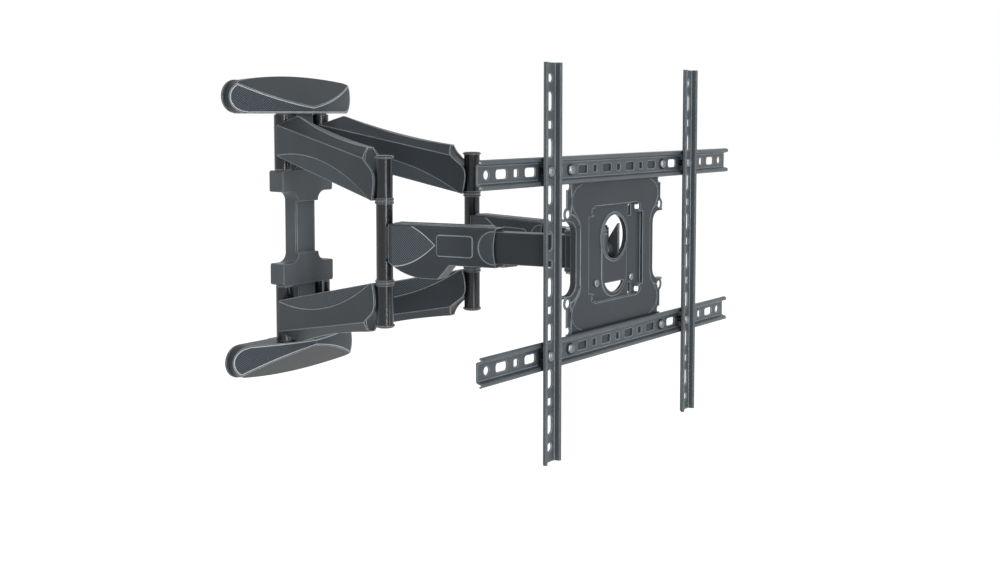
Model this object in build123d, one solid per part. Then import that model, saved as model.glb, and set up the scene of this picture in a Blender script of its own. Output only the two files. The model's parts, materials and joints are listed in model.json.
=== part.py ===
"""A double-arm wall mount for a television, at its real size, in millimetres.

X runs to the right as seen from the front, Y runs into the wall and Z runs up. The origin lies on
the wall, in the middle of the four wall bolts. The left arms are modelled and mirrored to the right,
and the upper ones are mirrored to the lower ones.
"""
import os
from math import asin, cos, degrees, radians

from build123d import *

# Linkage, seen from above
TUBE_HALF = 36.0  # wall hinges from the middle plane
TUBE_OUT = 32.0  # wall hinges from the wall
REAR_LENGTH = 249.0
HEAD_PIN_HALF = 30.0  # head pins from the middle plane
FORE_LENGTH = REAR_LENGTH + TUBE_HALF - HEAD_PIN_HALF  # lets both arms fold flat together
ELBOW_HALF = 88.0  # elbows from the middle plane, as shown
REAR_ANGLE = degrees(asin((ELBOW_HALF - TUBE_HALF) / REAR_LENGTH))
FORE_ANGLE = degrees(asin((ELBOW_HALF - HEAD_PIN_HALF) / FORE_LENGTH))
ELBOW_OUT = TUBE_OUT + REAR_LENGTH * cos(radians(REAR_ANGLE))
HEAD_PIN_OUT = ELBOW_OUT + FORE_LENGTH * cos(radians(FORE_ANGLE))
SWIVEL_OUT = HEAD_PIN_OUT + 18.0
PLATE_OUT = HEAD_PIN_OUT + 42.0  # front face of the centre plate
RUN = 0.05  # radial clearance of a running fit
OPEN_RUN = 0.8  # radial clearance at the pivot that closes the linkage
GAP = 0.4  # clearance beside moving parts

# Wall plates and covers
SHEET = 2.5
COVER_LOW = 162.0  # lower edge of the upper cover
COVER_TOP = 215.5
COVER_SHOULDER = 208.0
COVER_HALF = 117.0
COVER_FRONT = 58.0
COVER_END = 14.0  # depth of the cover at its ends
COVER_BROW = 172.0  # height of the ridge's lowest point
COVER_WALL = 2.5
COVER_BEND = 20.0  # length of each rounded end
COVER_CREST = 6.0  # the brow's top edge, from the wall
COVER_BOW = 6.0  # how far each half of the front bows out, seen from above
PLATE_HALF = 119.5
PLATE_MARGIN = 2.0
WALL_BOLT_X = 190.0
WALL_BOLT_Z = 376.0
WALL_SLOT = 18.0
WALL_SLOT_R = 4.5
SHELF = 4.0
SHELF_R = 10.0

# Column between the plates
WING_TOP = 81.5
WING_LOW = 51.0
WING_HALF = 48.0
WING_DEPTH = 28.0
WING_CORNER_R = 3.0
WAIST_FILLET_R = 14.0
WING_BACK = 16.0  # rear of the wings, from the wall
WEDGE_R = 7.0  # fillet between a wing and the spine
COLUMN_HALF = 19.0
COLUMN_DEPTH = 21.0
SPINE_HALF = 16.0
SPINE_DEPTH = 22.0
DOME_R = 57.0
DOME_RISE = 77.0
DOME_STEP = 4.0

# Wall hinges
TUBE_R = 12.4
TUBE_BORE = 9.5
PIN_R = 7.0
PIN_HEAD_R = 9.0
PIN_HEAD = 3.0
PIN_SEAT = 20.0
BUSH_FLANGE = 1.5
BUSH_DEPTH = 12.0

# Rear arms: heights at the wall hinge and at the elbow
ARM_HALF = 15.0
ARM_START = 8.0
ARM_WALL = 2.5
ARM_LOW = (103.5, 50.5)
ARM_RIDGE = (147.5, 100.0)
ARM_ROOF = 19.0
ARM_HIP = (42.0, 159.0)
ARM_CREST = (140.0, 132.0)
ARM_CREST_END = 119.0
BAR_HALF = 5.0
BAR_HEIGHT = 30.0
PANEL_STEP = 0.8
PANEL_TIP = 1.5
PANEL_RISE = 22.0
HOLLOW_REACH = 6.0  # the hollow runs past both ends of the arm
ROOF_END = 30.0  # where the roof stops short of the elbow
SIDE_END = 8.0
MOUTH = ((24.0, 103.0), (5.0, 86.0), (4.0, 68.0))  # short of the elbow, and height

# Elbows
ELBOW_TOP = 106.0
CAP = 4.0
CAP_R = 12.6
SPIGOT = 8.0
SLEEVE_R = 10.8
SLEEVE_BORE = 8.3
COLLAR_R = 12.2
COLLAR_LOW = 48.5
COLLAR_TOP = 55.5
GROOVE = 1.4
GROOVE_DEEP = 0.8
ELBOW_PIN_R = 6.0
FORE_TUBE_R = 10.6

# Forearms
BOX_HALF = 8.0
BOX_HIGH = 19.5
BOX_WALL = 2.5
BARREL_R = 10.0
FORE_COVER_HALF = 12.5
FORE_COVER_HIGH = 24.0
FORE_COVER_WALL = 2.0
FORE_COVER_START = 12.0
FORE_COVER_END = 161.0
BELLY = 42.0
BELLY_AT = (34.0, 60.0, 82.0, 98.0)  # along the belly's curve, floor and slope
BELLY_BOW = 5.5
STRIP = (20.0, 150.0)  # cable strip on top of the cover
STRIP_HALF = 9.0
STRIP_HIGH = 2.0
SHIELD = (24.0, 20.0)  # length and half height of the sunk shield
PAD_CENTRE = 105.0
PAD_LONG = 49.0
PAD_HIGH = 26.0
PAD_STEP = 0.8

# Head
HEAD_PIN_R = 6.0
LUG = 4.0
LUG_GAP = 0.5
CARRIER_HEAD_R = 8.5
SWIVEL_HEAD_R = 7.0
HEAD_ROUND = 1.2
LUG_R = 10.0
NOSE_R = 9.0
WEB_HALF = 14.0
SWIVEL_R = 9.5
SWIVEL_PIN_R = 5.0
SWIVEL_HIGH = 19.5
BOSS_R = 8.5
BOSS_HALF = 15.5
CHEEK = 3.0
CHEEK_R = 10.0
TILT_BOLT_R = 4.0
TILT_BOLT_DEEP = 8.0
TILT_HEAD_R = 6.5
TILT_HEAD = 4.5
BRACKET_HIGH = 104.0
BRACKET_WIDE = 87.0
BRACKET_R = 8.0
CHEEK_FOOT = 32.0  # half height of a cheek where it meets the base

# Centre plate
PLATE_W = 204.0
PLATE_H = 226.0
PLATE = 2.5
WAIST = 84.0
WAIST_HIGH = 84.0
WAIST_R = 14.0
FLANGE = 9.0
EAR_X = 100.0
EAR_R = 8.0
SMALL_PITCH = 100.0
PLATE_HOLE_R = 4.0
EAR_HOLE_R = 4.6
RECESS_W = 118.0
RECESS_H = 112.0
RECESS = 4.0
RECESS_R = 5.0
CORNER_PAD = 24.0
WINDOW_R = 26.0
WINDOW_Z = 17.5
RIM = 3.0
RIM_STEP = 1.5
BORDER = 8.0  # width of the lowered border round the plate
BORDER_STEP = 0.8
TONGUE_HALF = 27.0
TONGUE_END = -53.0
TONGUE_STEP = 1.0
CORNER_HOLE = (100.0, 81.0)
MOON_R = 21.0
MOON_Z = -36.0
MOON_DEEP = 12.0
SLIT = (6.0, 14.0)
SLIT_AT = (34.0, 47.0)
SCREW_AT = (38.0, -34.0)
SCREW_R = 2.5
SCREW_HEAD_R = 4.5
SCREW_HEAD = 2.0

# Rails
PITCH = 25.0
CROSS_COUNT = 10  # holes each side of the middle one, in a cross rail
UPRIGHT_COUNT = 8
CROSS_Z = 100.0
CROSS_HALF = 265.0
RAIL_WIDE = 31.6
UPRIGHT_HALF = 216.5
UPRIGHT_AT = (-150.0, 150.0)
RAIL = 1.8
RAIL_DEEP = 8.0
ROUND_R = 4.6
PLATE_BOLT_AT = 4  # holes from the middle that the plate bolts use
BOLT_R = 3.6
BOLT_HEAD_R = 6.5
BOLT_HEAD = 4.5
NUT_R = 6.4
NUT = 5.0


def face(*lines):
    """A flat face inside the lines, which meet end to end."""
    outline = Curve()
    for line in lines:
        outline += line
    return make_face(outline)


def rod(radius, low, high, x=0.0, y=0.0):
    """An upright cylinder between two heights."""
    return Pos(x, y, (low + high) / 2) * Cylinder(radius, high - low)


def ring(radius, bore, low, high):
    return rod(radius, low, high) - rod(bore, low - 1, high + 1)


def block(x, y, z):
    """A box between two values on each axis."""
    centre = Pos(sum(x) / 2, sum(y) / 2, sum(z) / 2)
    return centre * Box(x[1] - x[0], y[1] - y[0], z[1] - z[0])


def front_face(sketch, near, far):
    """A sketch drawn in X and Z, thickened between two distances from the wall."""
    return extrude(Plane.XZ.offset(near) * sketch, far - near)


def lower(part):
    return mirror(part, about=Plane.XY)


def right(part):
    return mirror(part, about=Plane.YZ)


def both_levels(part):
    return part + lower(part)


REAR_LEFT = Pos(-TUBE_HALF, -TUBE_OUT, 0) * Rot(0, 0, -90 - REAR_ANGLE)
ELBOW_LEFT = Pos(-ELBOW_HALF, -ELBOW_OUT, 0)
FORE_LEFT = ELBOW_LEFT * Rot(0, 0, FORE_ANGLE - 90)


# Wall side


def shelf_outline():
    seats = [Pos(side * TUBE_HALF, -TUBE_OUT) * Circle(SHELF_R) for side in (-1, 1)]
    between = Pos(0, -TUBE_OUT) * Rectangle(2 * TUBE_HALF, 2 * SHELF_R)
    reach = Pos(0, -TUBE_OUT / 2) * Rectangle(2 * TUBE_HALF + SHELF_R, TUBE_OUT)
    return seats[0] + seats[1] + between + reach


def wall_plate_top():
    """Pressed back plate with a shelf that holds the upper ends of the hinge pins."""
    middle = (COVER_LOW + COVER_SHOULDER) / 2 + PLATE_MARGIN / 2
    height = COVER_SHOULDER - COVER_LOW
    outline = Pos(0, middle) * SlotOverall(2 * PLATE_HALF, height)
    slot = SlotOverall(WALL_SLOT, 2 * WALL_SLOT_R)
    for side in (-1, 1):
        outline -= Pos(side * WALL_BOLT_X / 2, WALL_BOLT_Z / 2) * slot
    plate = front_face(outline, 0, SHEET)
    shelf = extrude(Pos(0, 0, COVER_LOW) * shelf_outline(), SHELF)
    for side in (-1, 1):
        shelf -= rod(PIN_R, COVER_LOW - 1, COVER_LOW + SHELF + 1, side * TUBE_HALF, -TUBE_OUT)
    rib_side = face(
        Polyline(
            (-SHEET, COVER_LOW + SHELF),
            (-TUBE_OUT + SHELF_R, COVER_LOW + SHELF),
            (-SHEET, COVER_SHOULDER - 2 * SHELF_R),
            (-SHEET, COVER_LOW + SHELF),
        )
    )
    rib = extrude(Plane.YZ * rib_side, SHEET, both=True)
    return plate + shelf + Pos(-SHELF_R, 0, 0) * rib + Pos(SHELF_R, 0, 0) * rib


def cover_form(inset):
    """The cover's outer form, or with an inset the hollow inside it."""
    low, top, shoulder = COVER_LOW + inset, COVER_TOP - inset, COVER_SHOULDER - inset
    half = COVER_HALF - inset
    bend = half - COVER_BEND
    middle = (low + shoulder) / 2
    outline = face(
        Line((-bend, low), (bend, low)),
        ThreePointArc((bend, low), (half, middle), (bend, shoulder)),
        ThreePointArc((bend, shoulder), (0, top), (-bend, shoulder)),
        ThreePointArc((-bend, shoulder), (-half, middle), (-bend, low)),
    )
    end, front = COVER_END - inset, COVER_FRONT - inset
    bulge = (end + front) / 2 + COVER_BOW
    plan = face(
        Polyline((-half, -end), (-half, 0), (half, 0), (half, -end)),
        ThreePointArc((half, -end), (half / 2, -bulge), (0, -front)),
        ThreePointArc((0, -front), (-half / 2, -bulge), (-half, -end)),
    )
    brow = COVER_BROW - inset
    side = face(
        Polyline(
            (0, low),
            (-COVER_FRONT, low),
            (-COVER_FRONT, brow),
            (-COVER_CREST, top),
            (0, top),
            (0, low),
        )
    )
    form = front_face(outline, SHEET, COVER_FRONT + 1)
    form &= extrude(Pos(0, 0, low) * plan, top - low)
    return form & extrude(Plane.YZ * side, COVER_HALF, both=True)


def wall_cover_top():
    """Moulded cap over the wall plate: a slanted brow over a V-shaped ridge, hollow at the back."""
    cover = cover_form(0) - cover_form(COVER_WALL)
    notch = offset(shelf_outline(), GAP)
    return cover - extrude(Pos(0, 0, COVER_LOW - 1) * notch, COVER_WALL + 2)


def wall_column():
    """Cast column: wings that seat the hinge pins, a waist between them and a spine to each shelf."""
    wing = Pos(0, (WING_TOP + WING_LOW) / 2) * RectangleRounded(
        2 * WING_HALF, WING_TOP - WING_LOW, WING_CORNER_R
    )
    wings = wing + mirror(wing, about=Plane.XZ)
    waist = wings + Rectangle(2 * COLUMN_HALF, 2 * WING_LOW + 2)
    corners = [
        v for v in waist.vertices() if abs(abs(v.X) - COLUMN_HALF) < 0.1 and abs(v.Y) < WING_TOP
    ]
    waist = fillet(corners, WAIST_FILLET_R)
    back = WING_BACK
    column = front_face(waist, back, back + WING_DEPTH)
    dome = Pos(0, DOME_RISE - DOME_R) * Circle(DOME_R)
    dome &= mirror(dome, about=Plane.XZ)
    front = WING_BACK + WING_DEPTH
    column -= front_face(dome, front - DOME_STEP, front + 1)
    slab = Rectangle(2 * COLUMN_HALF + 2, 2 * (WING_LOW - WAIST_FILLET_R))
    column -= front_face(slab, back + COLUMN_DEPTH, front + 1)
    spine = Rectangle(2 * SPINE_HALF, 2 * COVER_LOW)
    for side in (-1, 1):
        for level in (-1, 1):
            foot = Pos(side * SPINE_HALF, level * WING_TOP) * Rectangle(2 * WEDGE_R, 2 * WEDGE_R)
            hollow = Pos(side * (SPINE_HALF + WEDGE_R), level * (WING_TOP + WEDGE_R)) * Circle(WEDGE_R)
            spine += foot - hollow
    column += front_face(spine, WING_BACK, WING_BACK + SPINE_DEPTH)
    for level in (-1, 1):
        for side in (-1, 1):
            low, high = sorted((level * (WING_TOP + 1), level * (WING_TOP - PIN_SEAT)))
            column -= rod(PIN_R, low, high, side * TUBE_HALF, -TUBE_OUT)
    return column


def hinge_pins():
    """Four headed pins, each through a shelf and down into a wing."""
    pin = rod(PIN_R, WING_TOP - PIN_SEAT, COVER_LOW + SHELF)
    pin += rod(PIN_HEAD_R, COVER_LOW + SHELF, COVER_LOW + SHELF + PIN_HEAD)
    pin = Pos(-TUBE_HALF, -TUBE_OUT, 0) * pin
    left = [pin, lower(pin)]
    return Compound(children=left + [right(p) for p in left])


# Rear arms, drawn with the wall hinge at the origin and the elbow on +X

TUBE_LOW = WING_TOP + BUSH_FLANGE
TUBE_TOP = COVER_LOW - BUSH_FLANGE


def hinge_tube():
    return REAR_LEFT * ring(TUBE_R, TUBE_BORE, TUBE_LOW, TUBE_TOP)


def hinge_bushes():
    """Flanged bushes at the ends of both left tubes."""
    bush = ring(TUBE_BORE, PIN_R + RUN, TUBE_LOW, TUBE_LOW + BUSH_DEPTH)
    bush += ring(TUBE_R - GAP, PIN_R + RUN, WING_TOP, TUBE_LOW)
    top = ring(TUBE_BORE, PIN_R + RUN, TUBE_TOP - BUSH_DEPTH, TUBE_TOP)
    top += ring(SHELF_R, PIN_R + RUN, TUBE_TOP, COVER_LOW)
    upper = [REAR_LEFT * bush, REAR_LEFT * top]
    return Compound(children=upper + [lower(b) for b in upper])


def along(pair, distance):
    """The height at a distance from the hinge, from the heights at hinge and elbow."""
    return pair[0] + (pair[1] - pair[0]) * distance / REAR_LENGTH


def arm_form(inset):
    """The upper arm's outer form, or with an inset the hollow inside it."""
    reach = HOLLOW_REACH if inset else 0.0
    start = ARM_START - reach
    top_end = REAR_LENGTH - ROOF_END + reach
    low_end = REAR_LENGTH - SIDE_END + reach
    mouth = [(REAR_LENGTH - short + reach, high) for short, high in MOUTH]
    hip = ARM_HIP[1] - inset
    crest_end = ARM_CREST_END - inset
    low = along(ARM_LOW, low_end) + inset
    side = face(
        Polyline(
            (low_end, low),
            (start, along(ARM_LOW, start) + inset),
            (start, along(ARM_RIDGE, start) - inset),
            (ARM_HIP[0], hip),
        ),
        ThreePointArc((ARM_HIP[0], hip), (ARM_CREST[0], ARM_CREST[1] - inset), (top_end, crest_end)),
        Spline((top_end, crest_end), *mouth, (low_end, low)),
    )
    form = extrude(Plane.XZ * side, ARM_HALF - inset, both=True)
    half, ridge = ARM_HALF - inset, ARM_RIDGE[0] - inset
    section = face(
        Polyline((-half, 0), (half, 0), (half, ridge), (0, ridge + ARM_ROOF), (-half, ridge), (-half, 0))
    )
    fall = Vector(REAR_LENGTH, 0, ARM_RIDGE[1] - ARM_RIDGE[0])
    return form & extrude(Plane.YZ * section, fall.length, dir=fall.normalized())


def arm_panel():
    """The sunk panel along the lower edge of each side, bounded by a long arc."""
    start, end = ARM_START, REAR_LENGTH - 10.0
    return face(
        Polyline(
            (end, along(ARM_LOW, end) - 1),
            (start, along(ARM_LOW, start) - 1),
            (start, along(ARM_LOW, start) + PANEL_TIP),
        ),
        ThreePointArc(
            (start, along(ARM_LOW, start) + PANEL_TIP),
            (REAR_LENGTH / 2, along(ARM_LOW, REAR_LENGTH / 2) + PANEL_RISE),
            (end, along(ARM_LOW, end) - 1),
        ),
    )


def rear_shell():
    """Hollow gabled arm cover, open at the elbow, with its lower side panels sunk."""
    shell = arm_form(0) - arm_form(ARM_WALL)
    panel = Plane.XZ * arm_panel()
    for side in (-1, 1):
        at = Pos(0, side * (ARM_HALF + 2 - PANEL_STEP), 0)
        shell -= at * extrude(panel, 2.0, both=True)
    shell -= rod(TUBE_R, 0, COVER_TOP)
    shell -= rod(COLLAR_R + GAP, 0, COLLAR_TOP + 5, REAR_LENGTH)
    return REAR_LEFT * shell


def rear_bar():
    """Steel bar inside the arm, from the hinge tube to the elbow sleeve."""
    low = (ARM_LOW[0] + ARM_WALL, ARM_LOW[1] + ARM_WALL)
    side = face(
        Polyline(
            (0, low[0]),
            (REAR_LENGTH, low[1]),
            (REAR_LENGTH, low[1] + BAR_HEIGHT),
            (0, low[0] + BAR_HEIGHT),
            (0, low[0]),
        )
    )
    bar = extrude(Plane.XZ * side, BAR_HALF, both=True)
    bar -= rod(TUBE_R, 0, COVER_TOP)
    bar -= rod(SLEEVE_R, 0, COVER_TOP, REAR_LENGTH)
    bar -= rod(COLLAR_R, 0, COLLAR_TOP, REAR_LENGTH)
    return REAR_LEFT * bar


# Elbows


def elbow_sleeves():
    sleeve = ELBOW_LEFT * ring(SLEEVE_R, SLEEVE_BORE, COLLAR_TOP, ELBOW_TOP)
    return Compound(children=[sleeve, lower(sleeve)])


def elbow_collars():
    """Flanged bushes, fixed in the sleeves; the forearm's tube turns on their inner ends."""
    collar = ring(COLLAR_R, ELBOW_PIN_R, COLLAR_LOW, COLLAR_TOP)
    collar += ring(SLEEVE_BORE, ELBOW_PIN_R, COLLAR_TOP, COLLAR_TOP + BUSH_DEPTH)
    collar += ring(SLEEVE_BORE - RUN, ELBOW_PIN_R, COLLAR_LOW - BUSH_DEPTH, COLLAR_LOW)
    middle = (COLLAR_LOW + COLLAR_TOP) / 2
    groove = ring(COLLAR_R + 1, COLLAR_R - GROOVE_DEEP, middle - GROOVE / 2, middle + GROOVE / 2)
    collar = ELBOW_LEFT * (collar - groove)
    return Compound(children=[collar, lower(collar)])


def flange():
    """Shallow domed flange with a spigot, at the upper end of the elbow."""
    top = ELBOW_TOP + CAP
    outline = face(
        Polyline(
            (0, top),
            (0, ELBOW_TOP - SPIGOT),
            (SLEEVE_BORE, ELBOW_TOP - SPIGOT),
            (SLEEVE_BORE, ELBOW_TOP),
            (CAP_R, ELBOW_TOP),
            (CAP_R, ELBOW_TOP + CAP / 3),
        ),
        ThreePointArc((CAP_R, ELBOW_TOP + CAP / 3), (CAP_R - 1.6, top - 1.0), (CAP_R - 4.0, top - 0.4)),
        Line((CAP_R - 4.0, top - 0.4), (0, top)),
    )
    return revolve(Plane.XZ * outline, Axis.Z)


def elbow_pin():
    return ELBOW_LEFT * (flange() + rod(ELBOW_PIN_R, -ELBOW_TOP, ELBOW_TOP))


def elbow_foot():
    return ELBOW_LEFT * (lower(flange()) - rod(ELBOW_PIN_R, -ELBOW_TOP, -ELBOW_TOP + SPIGOT + 1))


# Forearms, drawn with the elbow at the origin and the head pin on +X


def fore_tube():
    return FORE_LEFT * ring(FORE_TUBE_R, SLEEVE_BORE, -COLLAR_LOW, COLLAR_LOW)


def fore_bar(bore):
    """Steel box bar with a barrel for the head pin."""
    end = FORE_LENGTH
    bar = block((0, end), (-BOX_HALF, BOX_HALF), (-BOX_HIGH, BOX_HIGH))
    hollow_y = BOX_HALF - BOX_WALL
    hollow_z = BOX_HIGH - BOX_WALL
    bar -= block((0, end - 2 * BARREL_R), (-hollow_y, hollow_y), (-hollow_z, hollow_z))
    bar += rod(BARREL_R, -BOX_HIGH, BOX_HIGH, end)
    bar -= rod(bore, -BOX_HIGH - 1, BOX_HIGH + 1, end)
    bar -= rod(FORE_TUBE_R, -BOX_HIGH - 1, BOX_HIGH + 1)
    return FORE_LEFT * bar


def fore_side(inset):
    """Side view of the forearm cover: straight above, with a cable belly below near the elbow."""
    high = FORE_COVER_HIGH - inset
    floor = -BELLY + inset
    start = FORE_COVER_START
    end = FORE_COVER_END
    return face(
        Line((start, -high), (start, high)),
        Line((start, high), (end, high)),
        ThreePointArc((end, high), (end - 4.0, 0), (end, -high)),
        Line((end, -high), (BELLY_AT[3], -high)),
        Line((BELLY_AT[3], -high), (BELLY_AT[2], floor)),
        Line((BELLY_AT[2], floor), (BELLY_AT[1], floor)),
        ThreePointArc((BELLY_AT[1], floor), (BELLY_AT[0], floor + BELLY_BOW), (start, -high)),
    )


def fore_cover():
    """Moulded cover clipped over the bar, with a raised pad on each side."""
    cover = extrude(Plane.XZ * fore_side(0), FORE_COVER_HALF, both=True)
    edges = cover.edges().filter_by(Axis.X).group_by(Axis.Z)[-1]
    cover = fillet(edges, 3.0)
    pad = RectangleRounded(PAD_LONG, PAD_HIGH, 4.0)
    for side in (-1, 1):
        at = Pos(PAD_CENTRE, side * FORE_COVER_HALF, 0)
        cover += at * extrude(Plane.XZ * pad, PAD_STEP, both=True)
        tip, foot = FORE_COVER_END - SHIELD[0], FORE_COVER_END - 2.0
        shield = face(
            ThreePointArc((foot, -SHIELD[1]), (tip, 0), (foot, SHIELD[1])),
            Line((foot, SHIELD[1]), (foot, -SHIELD[1])),
        )
        cut = extrude(Plane.XZ * shield, 1.0, both=True)
        cover -= Pos(0, side * (FORE_COVER_HALF + 1.0 - PAD_STEP), 0) * cut
    cover += block(STRIP, (-STRIP_HALF, STRIP_HALF), (BOX_HIGH, FORE_COVER_HIGH + STRIP_HIGH))
    inner = FORE_COVER_HALF - FORE_COVER_WALL
    cover -= block((0, FORE_LENGTH), (-inner, inner), (-BOX_HIGH, BOX_HIGH))
    floor = -BELLY + FORE_COVER_WALL
    belly = face(
        Polyline(
            (BELLY_AT[3] - FORE_COVER_WALL, -BOX_HIGH),
            (BELLY_AT[2] - FORE_COVER_WALL, floor),
            (BELLY_AT[1], floor),
            (2 * FORE_COVER_START, -BOX_HIGH),
            (BELLY_AT[3] - FORE_COVER_WALL, -BOX_HIGH),
        )
    )
    cover -= extrude(Plane.XZ * belly, inner, both=True)
    cover -= rod(FORE_TUBE_R + GAP, -BELLY, FORE_COVER_HIGH + 1)
    return FORE_LEFT * cover


# Head: carrier, swivel and tilt


def plan_face(sketch, low, high):
    """A sketch drawn in X and distance from the wall, thickened between two heights."""
    return extrude(Pos(0, 0, low) * mirror(sketch, about=Plane.XZ), high - low)


def lug_outline():
    """A bar across both head pins, with a nose out to the swivel pin."""
    bar = Pos(0, HEAD_PIN_OUT) * SlotCenterToCenter(2 * HEAD_PIN_HALF, 2 * LUG_R)
    nose = Pos(0, SWIVEL_OUT) * Circle(NOSE_R)
    neck = Pos(0, (HEAD_PIN_OUT + SWIVEL_OUT) / 2) * Rectangle(2 * NOSE_R, SWIVEL_OUT - HEAD_PIN_OUT)
    return bar + nose + neck


def head_carrier():
    """Two lugged plates and a web: it joins both forearms and holds the swivel pin."""
    low = BOX_HIGH + LUG_GAP
    plate = plan_face(lug_outline(), low, low + LUG)
    for side in (-1, 1):
        plate -= rod(HEAD_PIN_R, low - 1, low + LUG + 1, side * HEAD_PIN_HALF, -HEAD_PIN_OUT)
    plate -= rod(SWIVEL_PIN_R, low - 1, low + LUG + 1, 0, -SWIVEL_OUT)
    web = block((-WEB_HALF, WEB_HALF), (-HEAD_PIN_OUT + 3, -HEAD_PIN_OUT + LUG_R), (-low, low))
    return both_levels(plate) + web


def headed_pin(radius, head_radius, x, out):
    """An upright pin through the carrier with a low head at each end."""
    end = BOX_HIGH + LUG_GAP + LUG
    pin = rod(radius, -end, end)
    head = rod(head_radius, end, end + PIN_HEAD)
    head = fillet(head.edges().group_by(Axis.Z)[-1], HEAD_ROUND)
    return Pos(x, -out, 0) * (pin + head + lower(head))


def head_pins():
    pin = headed_pin(HEAD_PIN_R, CARRIER_HEAD_R, -HEAD_PIN_HALF, HEAD_PIN_OUT)
    return Compound(children=[pin, right(pin)])


def head_washers(bore):
    """Thin washers between the left forearm's barrel and the carrier."""
    washer = ring(BARREL_R - 1, bore, BOX_HIGH, BOX_HIGH + LUG_GAP)
    washer = Pos(-HEAD_PIN_HALF, -HEAD_PIN_OUT, 0) * washer
    return [washer, lower(washer)]


def swivel_block():
    """Barrel on the swivel pin, with a boss on each side for the tilt bolts."""
    barrel = ring(SWIVEL_R, SWIVEL_PIN_R + RUN, -SWIVEL_HIGH, SWIVEL_HIGH)
    for side in (-1, 1):
        span = sorted((side * (SWIVEL_PIN_R + 1.0), side * BOSS_HALF))
        boss = Rot(0, 90, 0) * rod(BOSS_R, span[0], span[1])
        hole = Rot(0, 90, 0) * rod(TILT_BOLT_R, *sorted((side * TILT_BOLT_DEEP, side * (BOSS_HALF + 1))))
        barrel += boss
        barrel -= hole
    barrel -= rod(SWIVEL_PIN_R + RUN, -SWIVEL_HIGH, SWIVEL_HIGH)
    return Pos(0, -SWIVEL_OUT, 0) * barrel


def tilt_bolts():
    """Two stub bolts that the tilt bracket turns on, with round gripped heads."""
    outer = BOSS_HALF + CHEEK
    bolt = rod(TILT_BOLT_R, TILT_BOLT_DEEP, outer)
    head = rod(TILT_HEAD_R, outer, outer + TILT_HEAD)
    head = chamfer(head.edges().filter_by(GeomType.CIRCLE), 0.8)
    bolt = Pos(0, -SWIVEL_OUT, 0) * Rot(0, 90, 0) * (bolt + head)
    return Compound(children=[bolt, right(bolt)])


RECESS_BACK = PLATE_OUT - RECESS - PLATE  # rear face of the sunk middle of the plate


def tilt_bracket():
    """Base plate behind the centre plate, with two cheeks back to the tilt bolts."""
    base_back = RECESS_BACK - SHEET
    half = BOSS_HALF + CHEEK
    foot = base_back + SHEET / 2
    base_sketch = RectangleRounded(BRACKET_WIDE, BRACKET_HIGH, BRACKET_R)
    base_sketch -= Pos(0, WINDOW_Z) * Circle(WINDOW_R + 1)
    base_sketch -= Pos(0, MOON_Z - 8) * Circle(MOON_R + 3)
    for side in (-1, 1):
        base_sketch -= Pos(side * SCREW_AT[0], SCREW_AT[1]) * Circle(SCREW_R)
    bracket = front_face(base_sketch, base_back, RECESS_BACK)
    cheek = face(
        Line((-base_back, -CHEEK_FOOT), (-SWIVEL_OUT, -CHEEK_R)),
        ThreePointArc((-SWIVEL_OUT, -CHEEK_R), (-SWIVEL_OUT + CHEEK_R, 0), (-SWIVEL_OUT, CHEEK_R)),
        Polyline((-SWIVEL_OUT, CHEEK_R), (-base_back, CHEEK_FOOT), (-foot, CHEEK_FOOT)),
        Polyline((-foot, CHEEK_FOOT), (-foot, -CHEEK_FOOT), (-base_back, -CHEEK_FOOT)),
    )
    cheek = extrude(Plane.YZ * cheek, CHEEK)
    cheek = Pos(BOSS_HALF, 0, 0) * cheek
    hole = Pos(0, -SWIVEL_OUT, 0) * Rot(0, 90, 0) * rod(TILT_BOLT_R + RUN, BOSS_HALF - 1, half + 1)
    cheek -= hole
    return bracket + cheek + right(cheek)


# Centre plate


def plate_outline():
    outline = RectangleRounded(PLATE_W, PLATE_H, 6.0)
    for side in (-1, 1):
        waist = RectangleRounded(2 * (EAR_X - WAIST) + 20, WAIST_HIGH, WAIST_R)
        outline -= Pos(side * (EAR_X + 10), 0) * waist
        for level in (-1, 1):
            outline += Pos(side * (EAR_X - 1), level * SMALL_PITCH / 2) * Circle(EAR_R)
    return outline


def recess_outline(grow):
    outline = RectangleRounded(RECESS_W + 2 * grow, RECESS_H + 2 * grow, RECESS_R + grow)
    pad = RectangleRounded(CORNER_PAD - 2 * grow, CORNER_PAD - 2 * grow, RECESS_R)
    for x in (-1, 1):
        for z in (-1, 1):
            outline -= Pos(x * RECESS_W / 2, z * RECESS_H / 2) * pad
    return outline


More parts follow.
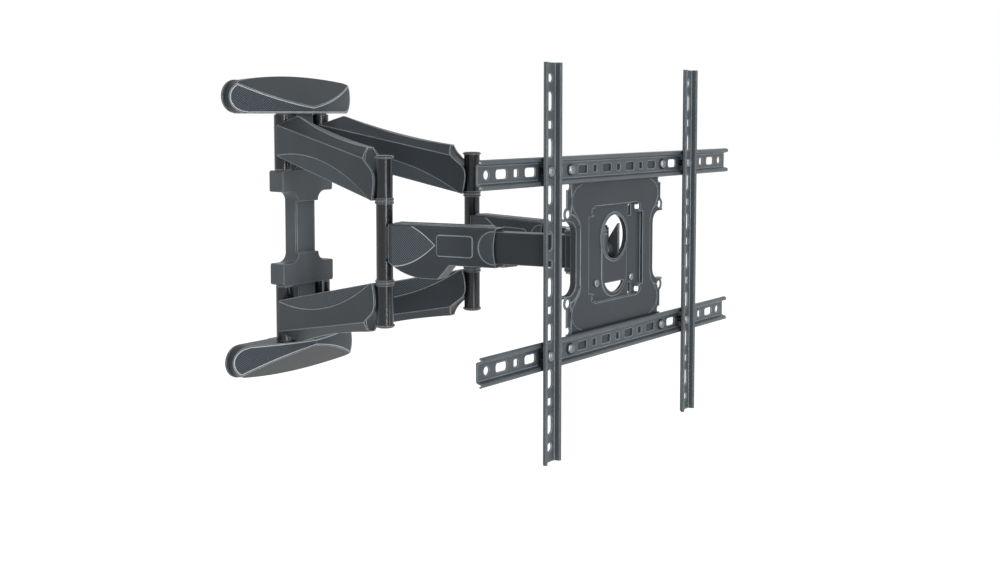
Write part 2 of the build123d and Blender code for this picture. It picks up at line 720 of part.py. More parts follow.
def centre_plate():
    """Pressed plate: turned-back waist edges, a sunk middle and raised corner pads."""
    front, back = PLATE_OUT, PLATE_OUT - PLATE
    plate = front_face(plate_outline(), back, front)
    floor = RECESS_BACK
    plate += front_face(recess_outline(PLATE), floor, back)
    plate -= front_face(recess_outline(0), front - RECESS, front + 1)
    for side in (-1, 1):
        wide = 2 * (EAR_X - WAIST) + 20
        edge = RectangleRounded(wide + 2 * PLATE, WAIST_HIGH + 2 * PLATE, WAIST_R + PLATE)
        edge -= RectangleRounded(wide, WAIST_HIGH, WAIST_R)
        edge &= Pos(-side * wide / 2, 0) * Rectangle(wide, WAIST_HIGH + 4 * PLATE)
        plate += front_face(Pos(side * (EAR_X + 10), 0) * edge, front - FLANGE, back)
    border = plate_outline() - offset(plate_outline(), -BORDER)
    plate -= front_face(border, front - BORDER_STEP, front + 1)
    tongue_high = WINDOW_Z - TONGUE_END
    tongue = Rectangle(2 * TONGUE_HALF, tongue_high)
    tongue = fillet(tongue.vertices().group_by(Axis.Y)[0], TONGUE_HALF - 2)
    tongue = Pos(0, WINDOW_Z - tongue_high / 2) * tongue
    plate += front_face(tongue, front - RECESS, front - RECESS + TONGUE_STEP)
    rim = Pos(0, WINDOW_Z) * Circle(WINDOW_R + RIM)
    plate += front_face(rim, front - RECESS, front - RECESS + RIM_STEP)
    plate -= front_face(Pos(0, WINDOW_Z) * Circle(WINDOW_R), floor - 1, front + 1)
    moon = face(
        Line((-MOON_R, MOON_Z), (MOON_R, MOON_Z)),
        ThreePointArc((MOON_R, MOON_Z), (0, MOON_Z - MOON_DEEP), (-MOON_R, MOON_Z)),
    )
    holes = moon
    for level in (-1, 1):
        holes += Pos(SLIT_AT[0], level * SLIT_AT[1]) * RectangleRounded(*SLIT, 1.5)
        for side in (-1, 1):
            for x, radius in ((SMALL_PITCH / 2, PLATE_HOLE_R), (EAR_X, EAR_HOLE_R)):
                holes += Pos(side * x, level * SMALL_PITCH / 2) * Circle(radius)
            holes += Pos(side * PITCH * PLATE_BOLT_AT, level * CROSS_Z) * Circle(BOLT_R)
            holes += Pos(side * CORNER_HOLE[0], level * CORNER_HOLE[1]) * Circle(PLATE_HOLE_R)
    for side in (-1, 1):
        holes += Pos(side * SCREW_AT[0], SCREW_AT[1]) * Circle(SCREW_R)
    return plate - front_face(holes, floor - 1, front + 1)


def bracket_screws():
    """Two screws that hold the tilt bracket to the plate."""
    front = PLATE_OUT - RECESS
    screws = []
    for side in (-1, 1):
        shank = front_face(Circle(SCREW_R), RECESS_BACK - SHEET - 1, front)
        head = front_face(Circle(SCREW_HEAD_R), front, front + SCREW_HEAD)
        head = fillet(head.edges().group_by(Axis.Y)[0], 1.2)
        screws.append(Pos(side * SCREW_AT[0], 0, SCREW_AT[1]) * (shank + head))
    return Compound(children=screws)


# Rails


def rail_section():
    """Channel section with rolled lips, drawn across the rail with its web on the X axis."""
    half = RAIL_WIDE / 2
    deep = RAIL_DEEP - RAIL / 2
    half_line = [
        (half - RAIL / 2, deep - 2.6),
        (half - 1.8, deep),
        (half - 4.2, deep),
        (half - 6.0, RAIL / 2),
    ]
    points = [(-x, y) for x, y in half_line] + [(x, y) for x, y in reversed(half_line)]
    spine = FilletPolyline(*points, radius=1.1)
    return trace(spine, RAIL)


def rail_holes(count, big, small, bolts):
    """The row of holes along a rail: round at its ends, long and short slots by turns."""
    row = Sketch()
    for i in range(-count, count + 1):
        if abs(i) == count:
            hole = Circle(ROUND_R)
        elif i in bolts:
            hole = Circle(BOLT_R)
        elif (i - count) % 2:
            hole = RectangleRounded(*big)
        else:
            hole = RectangleRounded(*small)
        row += Pos(i * PITCH, 0) * hole
    return row


def cross_rail():
    """Horizontal rail: it lies on the centre plate, and the uprights lie on its lips."""
    bar = extrude(Plane.YZ * (Rot(0, 0, 90) * rail_section()), CROSS_HALF, both=True)
    bar = Pos(0, -PLATE_OUT, CROSS_Z) * bar
    holes = rail_holes(
        CROSS_COUNT, (19.0, 9.6, 3.0), (7.6, 8.0, 1.5), (-PLATE_BOLT_AT, PLATE_BOLT_AT)
    )
    return bar - front_face(Pos(0, CROSS_Z) * holes, PLATE_OUT - 1, PLATE_OUT + 4)


UPRIGHT_OUT = PLATE_OUT + RAIL_DEEP  # rear face of the uprights


def upright_rail(x):
    """Vertical rail that the screen's bolts pass through."""
    section = Rot(0, 0, 180) * rail_section()
    bar = extrude(section, UPRIGHT_HALF, both=True)
    cross = int(CROSS_Z / PITCH)
    holes = rail_holes(UPRIGHT_COUNT, (20.5, 9.2, 4.4), (8.0, 8.4, 1.4), (-cross, cross))
    cut = front_face(Rot(0, 0, 90) * holes, -1, 4)
    return Pos(x, -UPRIGHT_OUT, 0) * (bar - cut)


def bolt(x, z, seat, back):
    """Dome-head bolt from its seat to a nut's far side, and the nut."""
    shank = front_face(Circle(BOLT_R), back - NUT - 1, seat)
    head = front_face(Circle(BOLT_HEAD_R), seat, seat + BOLT_HEAD)
    head = fillet(head.edges().group_by(Axis.Y)[0], BOLT_HEAD - 0.6)
    nut = front_face(RegularPolygon(NUT_R, 6) - Circle(BOLT_R), back - NUT, back)
    return Pos(x, 0, z) * (shank + head), Pos(x, 0, z) * nut


def bolt_sets():
    """Plate bolts and upright bolts with their nuts, as four groups of separate solids."""
    plate_bolts, plate_nuts, upright_bolts, upright_nuts = [], [], [], []
    for z in (-CROSS_Z, CROSS_Z):
        for x in (-PITCH * PLATE_BOLT_AT, PITCH * PLATE_BOLT_AT):
            screw, nut = bolt(x, z, PLATE_OUT + RAIL, PLATE_OUT - PLATE)
            plate_bolts.append(screw)
            plate_nuts.append(nut)
        for x in UPRIGHT_AT:
            screw, nut = bolt(x, z, UPRIGHT_OUT + RAIL, PLATE_OUT)
            upright_bolts.append(screw)
            upright_nuts.append(nut)
    return {
        "plate_bolts": Compound(children=plate_bolts),
        "plate_nuts": Compound(children=plate_nuts),
        "upright_bolts": Compound(children=upright_bolts),
        "upright_nuts": Compound(children=upright_nuts),
    }


def build():
    """Every node of the mount by name."""
    parts = {}
    for name, top in (("wall_plate", wall_plate_top()), ("wall_cover", wall_cover_top())):
        parts[f"{name}_top"] = top
        parts[f"{name}_bottom"] = lower(top)
    parts["wall_column"] = wall_column()
    parts["hinge_pins"] = hinge_pins()
    for name, part in (
        ("hinge_tube", hinge_tube()),
        ("rear_shell", rear_shell()),
        ("rear_bar", rear_bar()),
    ):
        parts[f"{name}_upper_left"] = part
        parts[f"{name}_lower_left"] = lower(part)
        parts[f"{name}_upper_right"] = right(part)
        parts[f"{name}_lower_right"] = lower(right(part))
    for name, part in (
        ("hinge_bushes", hinge_bushes()),
        ("elbow_sleeves", elbow_sleeves()),
        ("elbow_collars", elbow_collars()),
        ("elbow_pin", elbow_pin()),
        ("elbow_foot", elbow_foot()),
        ("forearm_tube", fore_tube()),
        ("forearm_cover", fore_cover()),
    ):
        parts[f"{name}_left"] = part
        parts[f"{name}_right"] = right(part)
    parts["forearm_bar_left"] = fore_bar(HEAD_PIN_R + RUN)
    parts["forearm_bar_right"] = right(fore_bar(HEAD_PIN_R + OPEN_RUN))
    parts["head_carrier"] = head_carrier()
    parts["head_pins"] = head_pins()
    parts["head_washers"] = Compound(children=head_washers(HEAD_PIN_R + RUN))
    parts["swivel_pin"] = headed_pin(SWIVEL_PIN_R, SWIVEL_HEAD_R, 0, SWIVEL_OUT)
    parts["swivel_block"] = swivel_block()
    parts["tilt_bolts"] = tilt_bolts()
    parts["tilt_bracket"] = tilt_bracket()
    parts["centre_plate"] = centre_plate()
    parts["bracket_screws"] = bracket_screws()
    upper = cross_rail()
    parts["cross_rail_upper"] = upper
    parts["cross_rail_lower"] = lower(upper)
    parts["upright_rail_left"] = upright_rail(UPRIGHT_AT[0])
    parts["upright_rail_right"] = upright_rail(UPRIGHT_AT[1])
    parts.update(bolt_sets())
    return parts


def main():
    os.makedirs("parts", exist_ok=True)
    for name, part in build().items():
        export_step(part, f"parts/{name}.step")


if __name__ == "__main__":
    main()
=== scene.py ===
"""Looks, light and camera for the television wall mount, in metres."""
import json
from math import atan2, cos, hypot, radians, sin, tau

import bmesh
import bpy
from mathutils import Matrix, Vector

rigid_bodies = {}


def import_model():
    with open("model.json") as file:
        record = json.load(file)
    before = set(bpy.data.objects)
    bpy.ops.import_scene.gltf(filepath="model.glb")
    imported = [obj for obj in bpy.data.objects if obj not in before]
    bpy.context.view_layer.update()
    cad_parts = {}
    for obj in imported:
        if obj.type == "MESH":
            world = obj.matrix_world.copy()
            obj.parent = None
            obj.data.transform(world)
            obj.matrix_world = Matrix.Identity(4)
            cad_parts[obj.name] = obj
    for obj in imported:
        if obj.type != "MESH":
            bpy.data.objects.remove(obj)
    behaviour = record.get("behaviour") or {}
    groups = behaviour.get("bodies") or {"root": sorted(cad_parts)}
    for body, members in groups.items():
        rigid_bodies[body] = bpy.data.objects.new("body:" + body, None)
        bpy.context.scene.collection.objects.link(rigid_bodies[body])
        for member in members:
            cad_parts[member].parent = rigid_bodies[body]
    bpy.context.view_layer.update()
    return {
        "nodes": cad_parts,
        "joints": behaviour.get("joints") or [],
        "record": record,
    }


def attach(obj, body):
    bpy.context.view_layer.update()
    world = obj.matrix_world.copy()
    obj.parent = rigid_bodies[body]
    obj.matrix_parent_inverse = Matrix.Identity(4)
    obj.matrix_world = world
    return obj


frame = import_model()
nodes = frame["nodes"]

# Camera, solved from the photo
CAMERA_AT = (-1.213, -1.328, 0.162)
CAMERA_TURN = -52.35  # degrees about Z
CAMERA_DOWN = 3.9  # degrees
CAMERA_REACH = 50.0  # how far it sees
LENS = 43.8  # millimetres, as the sensor's width is
SENSOR_WIDE = 36.0
SHIFT = -0.0845  # share of the sensor's width

# Floor and light
WHITE = (255, 255, 255)
FLOOR_Z = -0.75
FLOOR_WIDE = 40.0
FLOOR_ROUGH = 0.9
FLOOR_GLOW = 0.35  # seen by the camera and in reflections, but lights nothing
SKY_LIGHT = 0.55  # what the sky gives as light, though it looks white
SUN_AT = (-0.5, -1.0, 1.1)
SUN_STRENGTH = 0.8
SUN_SOFTNESS = 25.0  # degrees across
STRIP_WIDE = 0.2
STRIP_HIGH = 2.4
STRIP_FRONT_AT = (-1.25, -2.9, 0.1)
STRIP_FRONT_WATTS = 50.0
STRIP_RIGHT_AT = (0.75, -2.9, 0.1)
STRIP_RIGHT_WATTS = 18.0
MOUNT_MIDDLE = (0.0, -0.3, 0.0)

# Directions and sides
ORIGIN = (0, 0, 0)
RIGHT = (1, 0, 0)
OUT = (0, -1, 0)
UP = (0, 0, 1)
SIDES = ((-1, "left"), (1, "right"))
LEVELS = ((1, "upper"), (-1, "lower"))

joint_places = {joint["name"]: joint["pos_m"] for joint in frame["joints"]}


def axis_at(joint):
    """A joint's upright axis: how far it stands from the middle plane, and its place along Y."""
    x, y, _ = joint_places[joint]
    return abs(x), y


# Linkage, seen from above. The left joints stand for the right ones too.
HINGE = axis_at("left_wall_hinge")
ELBOW = axis_at("left_elbow")
HEAD_PIN = axis_at("head_hinge")
REAR_LENGTH = hypot(ELBOW[0] - HINGE[0], ELBOW[1] - HINGE[1])
REAR_TURN = atan2(ELBOW[0] - HINGE[0], HINGE[1] - ELBOW[1])  # radians
FORE_TURN = atan2(ELBOW[0] - HEAD_PIN[0], ELBOW[1] - HEAD_PIN[1])

# Panels with a fine grid, where the solids have them
ARM_HALF = 0.015  # half width of a rear arm's shell
FORE_HALF = 0.0125  # half width of a forearm's cover
FACE_SLACK = 0.0003  # how far inside a face its mask begins
PANEL_DEEP = 0.0011  # the floor of a sunk panel lies between these depths
PANEL_SHALLOW = 0.0005
SHIELD_START = 0.13  # from the elbow
LEAF_START = 0.017  # from the elbow
LEAF_LONG = 0.06
LEAF_HIGH = 0.028
LEAF_RIM = 1.05  # how far the painted highlight line round the leaf reaches, as a share of the leaf
COVER_LOW = 0.162
COVER_MIDDLE = 0.185
COVER_TOP = 0.2155
COVER_FRONT = 0.058
COVER_CREST = 0.006  # the ridge's top edge, from the wall
COVER_END = 0.095  # where a cover's rounded end begins
COVER_END_R = 0.0225
BROW_LOW = 0.172  # height of the ridge's lowest point
BROW_SLOPE = (COVER_TOP - BROW_LOW) / (COVER_FRONT - COVER_CREST)
PANEL_BORDER = 0.0028  # plain strip round a cover's panel
RIM_LINE = 0.0013  # width of the painted highlight line round it
TOUCH = 0.0001  # distances below this count as none

# Surfaces
GRAIN_SCALE = 1800.0  # grains to a metre
GRAIN_DETAIL = 3.0
DRIFT_SCALE = 14.0
DRIFT_DETAIL = 2.0
DRIFT_SPAN = (0.35, 0.65)  # noise values between which the colour drifts
DRIFT_DARK = 0.86  # share of the colour that is left where it is darkest
NOISE_SPAN = (0.3, 0.7)  # noise mostly keeps within these values
EDGE_R = 0.0016  # how far from an edge its painted highlight begins
EDGE_SAMPLES = 6
EDGE_SPAN = (0.997, 0.96)  # agreement of the true and the rounded normal, from no edge to a full one
LEAST_EDGE_HIGHLIGHT = 0.55  # share of the pale colour of the painted edge highlight where it shows least
RIM_HIGHLIGHT = 0.8  # the same share on the painted highlight line round a panel
ROUGH_SWING = 0.05
DOT_PITCH = 0.0033
DOT_SPAN = 0.6  # height of the crossed waves at which a dot is at its lightest
DOT_SHADES = (0.5, 2.6)  # shares of the colour, between the dots and on them
DOT_ROUGH = 0.12
ARM_GRID = 0.6  # how much the grid is drawn out along the rear arms
BUMP_DEPTH = 0.0003
BUMP_STRENGTH = 0.5
COAT_ROUGH = 0.1
PLASTIC_ROUGH = 0.42
STEEL_ROUGH = 0.36

# Colours, from 0 to 255, and the paler ones of their painted edge highlights
SLATE = (54, 59, 63)
COVER_SLATE = (43, 48, 52)
SLATE_EDGE_HIGHLIGHT = (176, 183, 188)
STEEL = (60, 65, 69)
# Copies of the slate steel with painted light and shade: the rails and the column lighter, the plate
# and the forearm bar darker
RAIL_GREY_PAINTED_LIGHT = (62, 68, 72)
COLUMN_GREY_PAINTED_LIGHT = (80, 85, 89)
INNER_GREY_PAINTED_SHADE = (42, 46, 50)
PLATE_GREY_PAINTED_SHADE = (44, 49, 53)
STEEL_EDGE_HIGHLIGHT = (134, 141, 146)
GLOSS = (12, 17, 22)
GLOSS_EDGE_HIGHLIGHT = (140, 150, 158)
BRIGHT = (112, 118, 122)
BRIGHT_EDGE_HIGHLIGHT = (196, 201, 204)
BLACK = (40, 43, 46)
BLACK_EDGE_HIGHLIGHT = (140, 146, 150)

# Webs that close the rear arms' ends: distance from the hinge and height, along the mouth
MOUTH = ((0.2195, 0.1165), (0.225, 0.103), (0.244, 0.086), (0.245, 0.068), (0.241, 0.0535))
MOUTH_STEPS = 6
WEB_BACK = 0.002  # how far the web stands back from the mouth
WEB_THICK = 0.0012
WEB_HALF = 0.0124
WEB_SECTION = ((0, 1), (0, -1), (1, -1), (1, 1))  # corners: front or back, and side
ROOF_FOOT = (0.1475, 0.1)  # height where a shell's roof begins, at the hinge and at the elbow
ROOF_RISE = 0.0165  # from there to the crest

# Embossed bead inside each corner of the centre plate: distance from the middle and height
BEAD = (
    (0.0765, 0.033),
    (0.0785, 0.041),
    (0.087, 0.05),
    (0.0932, 0.059),
    (0.0932, 0.069),
    (0.086, 0.078),
    (0.074, 0.083),
)
BEAD_STEPS = 5
BEAD_R = 0.0008
PLATE_OUT = 0.5658  # front face of the plate, from the wall

# The Mix node's sockets for colours, which share their names with others
MIX_FACTOR = 0
MIX_FIRST = 6
MIX_SECOND = 7
MIX_RESULT = 2


def linear(rgb):
    """Linear colour from the 0 to 255 values of a picture, by the sRGB curve."""
    out = []
    for value in rgb:
        v = value / 255
        out.append(v / 12.92 if v <= 0.04045 else ((v + 0.055) / 1.055) ** 2.4)
    return (*out, 1.0)


class Graph:
    """The node tree of a material or world, with short calls to add and join nodes."""

    def __init__(self, owner, shader):
        owner.use_nodes = True
        self.owner = owner
        self.tree = owner.node_tree
        self.shader = self.tree.nodes[shader]

    def join(self, socket, value):
        """Feeds a socket from another one, or gives it a value."""
        if isinstance(value, bpy.types.NodeSocket):
            self.tree.links.new(value, socket)
        else:
            socket.default_value = value

    def set(self, name, value):
        """Gives the shader one of its inputs."""
        self.join(self.shader.inputs[name], value)

    def add(self, kind, inputs=None, **settings):
        node = self.tree.nodes.new(kind)
        for key, value in settings.items():
            setattr(node, key, value)
        for key, value in (inputs or {}).items():
            self.join(node.inputs[key], value)
        return node

    def math(self, operation, first, second=0.0):
        return self.add("ShaderNodeMath", {0: first, 1: second}, operation=operation).outputs[0]

    def product(self, first, *others):
        """All values multiplied; of masks, where all of them hold."""
        for other in others:
            first = self.math("MULTIPLY", first, other)
        return first

    def vector(self, operation, result, inputs):
        return self.add("ShaderNodeVectorMath", inputs, operation=operation).outputs[result]

    def mix(self, factor, first, second):
        inputs = {MIX_FACTOR: factor, MIX_FIRST: first, MIX_SECOND: second}
        return self.add("ShaderNodeMix", inputs, data_type="RGBA").outputs[MIX_RESULT]

    def ramp(self, value, low, high, start=0.0, end=1.0):
        """Value between low and high, drawn out to run from start to end."""
        inputs = {"Value": value, "From Min": low, "From Max": high, "To Min": start, "To Max": end}
        return self.add("ShaderNodeMapRange", inputs).outputs["Result"]

    def noise(self, place, scale, detail):
        inputs = {"Vector": place, "Scale": scale, "Detail": detail}
        return self.add("ShaderNodeTexNoise", inputs).outputs[0]


def new_material(name):
    return Graph(bpy.data.materials.new(name), "Principled BSDF")


def inside(g, value, low, high):
    """Mask of the points where a value lies between two others."""
    return g.product(g.math("GREATER_THAN", value, low), g.math("LESS_THAN", value, high))


def local(g, place, origin, direction):
    """How far a point lies from an origin along a direction."""
    offset = g.vector("SUBTRACT", "Vector", {0: place, 1: origin})
    return g.vector("DOT_PRODUCT", "Value", {0: offset, 1: direction})


def apart(g, place, origin, direction):
    """How far a point lies from an origin along a direction, either way."""
    return g.math("ABSOLUTE", local(g, place, origin, direction))


def cover_zone(g, place, border):
    """The front face of a wall cover, under its V-shaped ridge and inside a plain border."""
    out = local(g, place, ORIGIN, OUT)
    side = apart(g, place, ORIGIN, RIGHT)
    high = apart(g, place, ORIGIN, UP)
    brow = g.product(g.math("SUBTRACT", COVER_FRONT, out), BROW_SLOPE)
    brow = g.math("ADD", brow, BROW_LOW - border)
    under = g.math("GREATER_THAN", brow, high)
    above = g.math("GREATER_THAN", high, COVER_LOW + border)
    middle = g.math("SUBTRACT", high, COVER_MIDDLE)
    end = g.math("MAXIMUM", g.math("SUBTRACT", side, COVER_END), 0.0)
    reach = g.math("SQRT", g.math("ADD", g.product(middle, middle), g.product(end, end)))
    rounded = g.math("LESS_THAN", reach, COVER_END_R - border)
    straight = g.math("LESS_THAN", end, TOUCH)
    return g.product(under, above, g.math("MAXIMUM", rounded, straight))


def cover_panel(g, place):
    """The textured zone of a wall cover, the fine raised line around it as a painted highlight, and
    the way along it.
    """
    zone = cover_zone(g, place, PANEL_BORDER)
    wider = cover_zone(g, place, PANEL_BORDER - RIM_LINE)
    return zone, g.math("SUBTRACT", wider, zone), local(g, place, ORIGIN, RIGHT)


def arm_panel(hand):
    """The sunk panels in the rear arms of one side. No other face lies at their depth."""

    def mask(g, place):
        hinge = (hand * HINGE[0], HINGE[1], 0)
        across = apart(g, place, hinge, (-hand * cos(REAR_TURN), -sin(REAR_TURN), 0))
        along = local(g, place, hinge, (hand * sin(REAR_TURN), -cos(REAR_TURN), 0))
        sunk = inside(g, across, ARM_HALF - PANEL_DEEP, ARM_HALF - PANEL_SHALLOW)
        return sunk, 0.0, g.product(along, ARM_GRID)

    return mask


def forearm_panel(hand):
    """The leaf beside the elbow, between two parabolas, and the sunk shield at the other end."""

    def mask(g, place):
        elbow = (hand * ELBOW[0], ELBOW[1], 0)
        along = local(g, place, elbow, (-hand * sin(FORE_TURN), -cos(FORE_TURN), 0))
        across = apart(g, place, elbow, (-hand * cos(FORE_TURN), sin(FORE_TURN), 0))
        x = g.product(g.math("SUBTRACT", along, LEAF_START), 1 / LEAF_LONG)
        z = g.product(apart(g, place, ORIGIN, UP), 1 / LEAF_HIGH)
        leaf = g.math("ADD", g.product(x, x), z)
        face = g.math("GREATER_THAN", across, FORE_HALF - FACE_SLACK)
        face = g.product(face, g.math("GREATER_THAN", x, 0.0))
        zone = g.product(g.math("LESS_THAN", leaf, 1.0), face)
        # painted highlight on the line round the leaf
        rim_highlight = g.product(inside(g, leaf, 1.0, LEAF_RIM), face)
        sunk = inside(g, across, FORE_HALF - PANEL_DEEP, FORE_HALF - PANEL_SHALLOW)
        shield = g.product(sunk, g.math("GREATER_THAN", along, SHIELD_START))
        return g.math("MAXIMUM", zone, shield), rim_highlight, along

    return mask


def edge_highlight(g, rounded, drift):
    """How much painted highlight a point gets: along edges alone, and unevenly."""
    true = g.add("ShaderNodeNewGeometry").outputs["Normal"]
    agreement = g.vector("DOT_PRODUCT", "Value", {0: rounded, 1: true})
    return g.product(g.ramp(agreement, *EDGE_SPAN), g.ramp(drift, *NOISE_SPAN, LEAST_EDGE_HIGHLIGHT, 1.0))


def dots(g, place, way):
    """Shade of a fine grid of dots, from a wave along the panel crossed with an upright one."""
    turns = tau / DOT_PITCH
    along = g.math("SINE", g.product(way, turns))
    upright = g.math("SINE", g.product(local(g, place, ORIGIN, UP), turns))
    return g.ramp(g.product(along, upright), -DOT_SPAN, DOT_SPAN, *DOT_SHADES)


def paint(name, rgb, edge, rough, grain=0.05, metallic=0.0, coat=0.0, shine=0.2, panel=None):
    """Coated surface: fine grain, slow colour drift, painted highlights on the edges and perhaps
    textured panels.
    """
    g = new_material(name)
    place = g.add("ShaderNodeTexCoord").outputs["Object"]
    grains = g.noise(place, GRAIN_SCALE, GRAIN_DETAIL)
    drift = g.noise(place, DRIFT_SCALE, DRIFT_DETAIL)
    rounded = g.add("ShaderNodeBevel", {"Radius": EDGE_R}, samples=EDGE_SAMPLES).outputs["Normal"]
    base = linear(rgb)
    dark = (*(DRIFT_DARK * c for c in base[:3]), 1.0)
    colour = g.mix(g.ramp(drift, *DRIFT_SPAN), dark, base)
    # painted highlight along the edges, in the pale edge colour
    painted_highlight = edge_highlight(g, rounded, drift)
    roughness = g.ramp(grains, *NOISE_SPAN, rough - ROUGH_SWING, rough + ROUGH_SWING)
    heights = g.product(grains, grain)
    if panel:
        mask, rim_highlight, way = panel(g, place)
        shade = dots(g, place, way)
        dotted = g.vector("SCALE", "Vector", {0: base[:3], "Scale": shade})
        colour = g.mix(mask, colour, dotted)
        # painted highlight on the raised line round a panel
        painted_highlight = g.math("MAXIMUM", painted_highlight, g.product(rim_highlight, RIM_HIGHLIGHT))
        roughness = g.math("ADD", roughness, g.product(mask, DOT_ROUGH))
        heights = g.math("ADD", heights, g.product(mask, shade))
    bump = {"Strength": BUMP_STRENGTH, "Distance": BUMP_DEPTH, "Height": heights, "Normal": rounded}
    g.set("Base Color", g.mix(painted_highlight, colour, linear(edge)))
    g.set("Roughness", roughness)
    g.set("Metallic", metallic)
    g.set("Specular IOR Level", shine)
    g.set("Coat Weight", coat)
    g.set("Coat Roughness", COAT_ROUGH)
    g.set("Normal", g.add("ShaderNodeBump", bump).outputs["Normal"])
    return g.owner


def slate_plastic(name, rgb=SLATE, panel=None):
    """Moulded arms and covers."""
    return paint(name, rgb, SLATE_EDGE_HIGHLIGHT, PLASTIC_ROUGH, grain=0.4, panel=panel)


def painted_steel(name, rgb, coat=0.0):
    """Powder-coated sheet, bars and rails."""
    return paint(name, rgb, STEEL_EDGE_HIGHLIGHT, STEEL_ROUGH, grain=0.2, coat=coat)


def gloss_steel(name):
    """Smooth dark tubes and flanges of the hinges and elbows."""
    return paint(name, GLOSS, GLOSS_EDGE_HIGHLIGHT, rough=0.24, grain=0.02, shine=0.42)


def bright_steel(name):
    """Bare pins, bolts, screws and nuts."""
    return paint(name, BRIGHT, BRIGHT_EDGE_HIGHLIGHT, rough=0.2, metallic=0.9)


def black_plastic(name):
    """Bushes, collars and washers."""
    return paint(name, BLACK, BLACK_EDGE_HIGHLIGHT, rough=0.3, grain=0.3, coat=0.3)


MATERIALS = {
    "slate_steel": painted_steel("slate_steel", STEEL),
    "gloss_steel": gloss_steel("gloss_steel"),
    "slate_plastic": slate_plastic("slate_plastic"),
    "bright_steel": bright_steel("bright_steel"),
    "black_plastic": black_plastic("black_plastic"),
}

# Nodes with a look of their own: how the name starts, how it ends, the material
# The rail and column steels are the slate steel with painted light, the plate and forearm bar
# (inner) steels the slate steel with painted shade
RAIL_STEEL_PAINTED_LIGHT = painted_steel("rail_steel", RAIL_GREY_PAINTED_LIGHT, coat=0.15)
OWN_LOOKS = [
    ("wall_cover", "", slate_plastic("cover_plastic", COVER_SLATE, cover_panel)),
    ("wall_column", "", painted_steel("column_steel", COLUMN_GREY_PAINTED_LIGHT)),
    ("forearm_bar", "", painted_steel("inner_steel", INNER_GREY_PAINTED_SHADE)),
    ("centre_plate", "", painted_steel("plate_steel", PLATE_GREY_PAINTED_SHADE)),
    ("cross_rail", "", RAIL_STEEL_PAINTED_LIGHT),
    ("upright_rail", "", RAIL_STEEL_PAINTED_LIGHT),
]
for hand, word in SIDES:
    arm_plastic = slate_plastic(f"arm_plastic_{word}", panel=arm_panel(hand))
    forearm_plastic = slate_plastic(f"forearm_plastic_{word}", panel=forearm_panel(hand))
    OWN_LOOKS.append(("rear_shell", word, arm_plastic))
    OWN_LOOKS.append(("forearm_cover", word, forearm_plastic))


def look_of(node, slot):
    """A node's own material, or else the one of its slot."""
    for start, end, material in OWN_LOOKS:
        if node.startswith(start) and node.endswith(end):
            return material
    return MATERIALS[slot]


def dress():
    """Gives every node of the frame its material."""
    for part in frame["record"]["subparts"]:
        material = look_of(part["node"], part["material_slot"])
        holder = nodes[part["node"]]
        meshes = [o for o in (holder, *holder.children_recursive) if o.type == "MESH"]
        for mesh in meshes:
            for slot in mesh.material_slots:
                slot.material = material


def new_object(name, data):
    obj = bpy.data.objects.new(name, data)
    bpy.context.collection.objects.link(obj)
    return obj


def smooth(points, steps):
    """Points on a smooth curve through the given ones."""
    ends = (points[0], *points, points[-1])
    out = []
    for group in zip(ends, ends[1:], ends[2:], ends[3:]):
        for i in range(steps):
            t = i / steps
            shares = (
                -t + 2 * t**2 - t**3,
                2 - 5 * t**2 + 3 * t**3,
                t + 4 * t**2 - 3 * t**3,
                t**3 - t**2,
            )
            out.append(tuple(sum(s * p[k] for s, p in zip(shares, group)) / 2 for k in (0, 1)))
    return [*out, points[-1]]


def web_corners(hand, up):
    """The web's section at each step down the mouth of an arm, narrower under the shell's roof."""
    corners = []
    for distance, high in smooth(MOUTH, MOUTH_STEPS):
        foot = ROOF_FOOT[0] + (ROOF_FOOT[1] - ROOF_FOOT[0]) * distance / REAR_LENGTH
        half = min(WEB_HALF, WEB_HALF * (foot + ROOF_RISE - high) / ROOF_RISE)
        for back, side in WEB_SECTION:
            reach = distance - WEB_BACK - back * WEB_THICK
            x = HINGE[0] + reach * sin(REAR_TURN) - side * half * cos(REAR_TURN)
            y = HINGE[1] - reach * cos(REAR_TURN) - side * half * sin(REAR_TURN)
            corners.append((hand * x, y, up * high))
    return corners


def tube_faces(rows, across):
    """Faces that join rows of corners all round, with both ends closed."""
    last = across * (rows - 1)
    faces = [tuple(range(across)), tuple(reversed(range(last, last + across)))]
    for row in range(rows - 1):
        for k in range(across):
            first, second = across * row + k, across * row + (k + 1) % across
            faces.append((first, first + across, second + across, second))
    return faces


def end_web(hand, word, up, level):
    """Thin curved wall inside the elbow end of a rear arm's shell."""
    corners = web_corners(hand, up)
    across = len(WEB_SECTION)
    mesh = bpy.data.meshes.new(f"arm_end_web_{level}_{word}")
    mesh.from_pydata(corners, [], tube_faces(len(corners) // across, across))
    form = bmesh.new()
    form.from_mesh(mesh)
    bmesh.ops.recalc_face_normals(form, faces=form.faces)
    form.to_mesh(mesh)
    form.free()
    mesh.materials.append(MATERIALS["slate_plastic"])
    web = new_object(mesh.name, mesh)
    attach(web, f"arm_{word}")


def plate_bead():
    """Pressed bead that runs round inside the ears of the centre plate, at its four corners."""
    curve = bpy.data.curves.new("plate_bead", "CURVE")
    curve.dimensions = "3D"
    curve.bevel_depth = BEAD_R
    curve.use_fill_caps = True
    for side in (-1, 1):
        for up in (-1, 1):
            points = smooth(BEAD, BEAD_STEPS)
            spline = curve.splines.new("POLY")
            spline.points.add(len(points) - 1)
            for point, (out, high) in zip(spline.points, points):
                point.co = (side * out, -PLATE_OUT, up * high, 1.0)
    curve.materials.append(look_of("centre_plate", "slate_steel"))
    bead = new_object(curve.name, curve)
    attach(bead, "screen_frame")


def place_lamp(lamp, at, aim):
    obj = new_object(lamp.name, lamp)
    obj.location = at
    obj.rotation_euler = (Vector(aim) - Vector(at)).to_track_quat("-Z", "Y").to_euler()
    obj.visible_camera = False


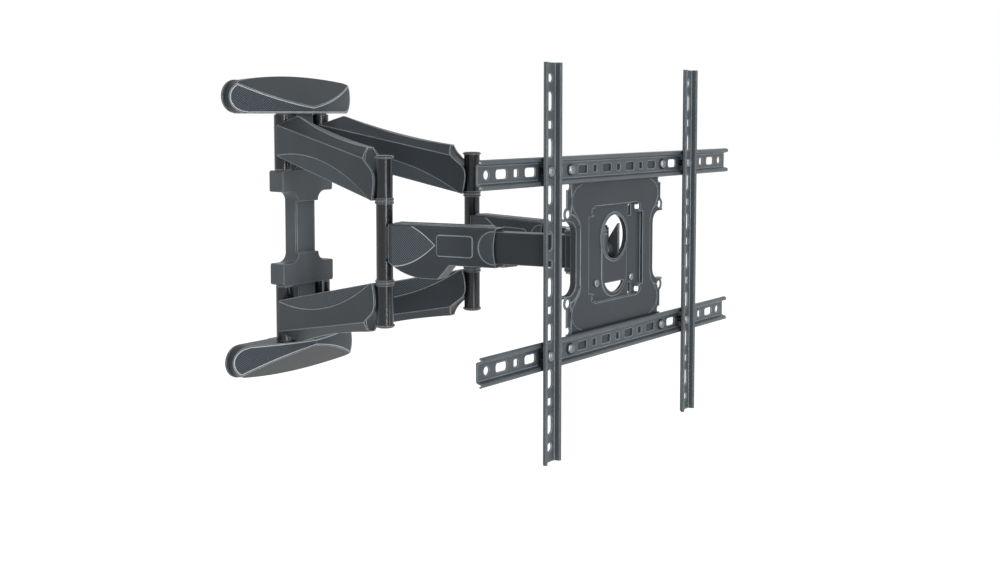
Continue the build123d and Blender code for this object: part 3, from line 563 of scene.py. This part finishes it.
def strip(name, at, watts):
    """An upright strip lamp, which draws a narrow streak on the tubes."""
    lamp = bpy.data.lights.new(name, "AREA")
    lamp.shape = "RECTANGLE"
    lamp.size = STRIP_WIDE
    lamp.size_y = STRIP_HIGH
    lamp.energy = watts
    place_lamp(lamp, at, MOUNT_MIDDLE)


def sun():
    lamp = bpy.data.lights.new("sun", "SUN")
    lamp.energy = SUN_STRENGTH
    lamp.angle = radians(SUN_SOFTNESS)
    place_lamp(lamp, SUN_AT, ORIGIN)


def seen_light(g, low, high):
    """A strength that is high where the camera, a reflection or clear glass looks, else low."""
    ray = g.add("ShaderNodeLightPath").outputs
    seen = g.math("MAXIMUM", ray["Is Camera Ray"], ray["Is Glossy Ray"])
    seen = g.math("MAXIMUM", seen, ray["Is Transmission Ray"])
    return g.ramp(seen, 0.0, 1.0, low, high)


def floor():
    """A white floor that keeps the mount's soft shadow."""
    bpy.ops.mesh.primitive_plane_add(size=FLOOR_WIDE, location=(0, 0, FLOOR_Z))
    plane = bpy.context.object
    plane.name = "floor"
    g = new_material("floor")
    g.set("Base Color", linear(WHITE))
    g.set("Roughness", FLOOR_ROUGH)
    g.set("Specular IOR Level", 0.0)
    g.set("Emission Color", linear(WHITE))
    g.set("Emission Strength", seen_light(g, 0.0, FLOOR_GLOW))
    plane.data.materials.append(g.owner)


def world():
    g = Graph(bpy.data.worlds.new("studio"), "Background")
    g.set("Color", linear(WHITE))
    g.set("Strength", seen_light(g, SKY_LIGHT, 1.0))
    bpy.context.scene.world = g.owner


def camera():
    lens = bpy.data.cameras.new("camera")
    lens.lens = LENS
    lens.sensor_width = SENSOR_WIDE
    lens.shift_y = SHIFT
    lens.clip_end = CAMERA_REACH
    eye = new_object("camera", lens)
    eye.location = CAMERA_AT
    eye.rotation_euler = (radians(90 - CAMERA_DOWN), 0, radians(CAMERA_TURN))
    bpy.context.scene.camera = eye


dress()
for hand, word in SIDES:
    for up, level in LEVELS:
        end_web(hand, word, up, level)
plate_bead()
floor()
world()
sun()
strip("strip_front", STRIP_FRONT_AT, STRIP_FRONT_WATTS)
strip("strip_right", STRIP_RIGHT_AT, STRIP_RIGHT_WATTS)
camera()
bpy.context.scene.view_settings.view_transform = "Standard"
